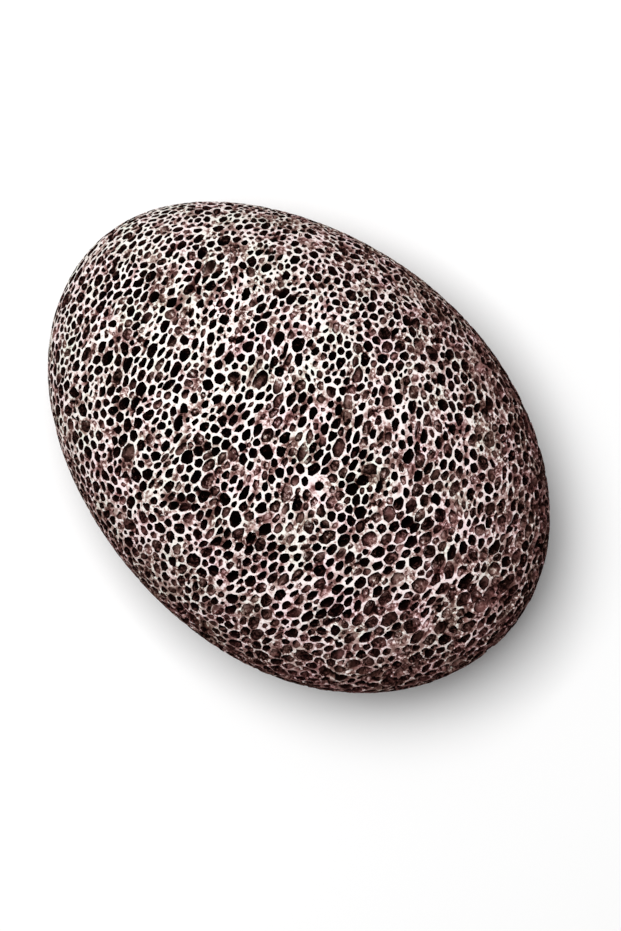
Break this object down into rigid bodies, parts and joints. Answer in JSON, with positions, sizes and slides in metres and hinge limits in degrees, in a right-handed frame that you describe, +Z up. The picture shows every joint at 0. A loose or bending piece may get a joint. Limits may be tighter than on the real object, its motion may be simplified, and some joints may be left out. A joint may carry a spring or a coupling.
{
  "type": "pumice foot stone",
  "caption": "Egg-shaped pumice foot stone of brown foamed lava, open-pored all over, with a worn flat underneath to rest on.",
  "frame": {"origin": "middle of the worn flat that the stone lies on", "axes": "+Z up from the flat, +X along the stone towards its slightly fuller end, +Y across it"},
  "size_m": [0.105, 0.077, 0.048],
  "materials": {
    "pumice": "Brown-mauve foamed lava, dead matt and open-pored: thin pale pinkish rims worn bright round pores 1 to 2 mm across, brown walls, almost black deep down"
  },
  "bodies": {
    "root": {"pumice_stone": "pumice"}
  },
  "joints": []
}
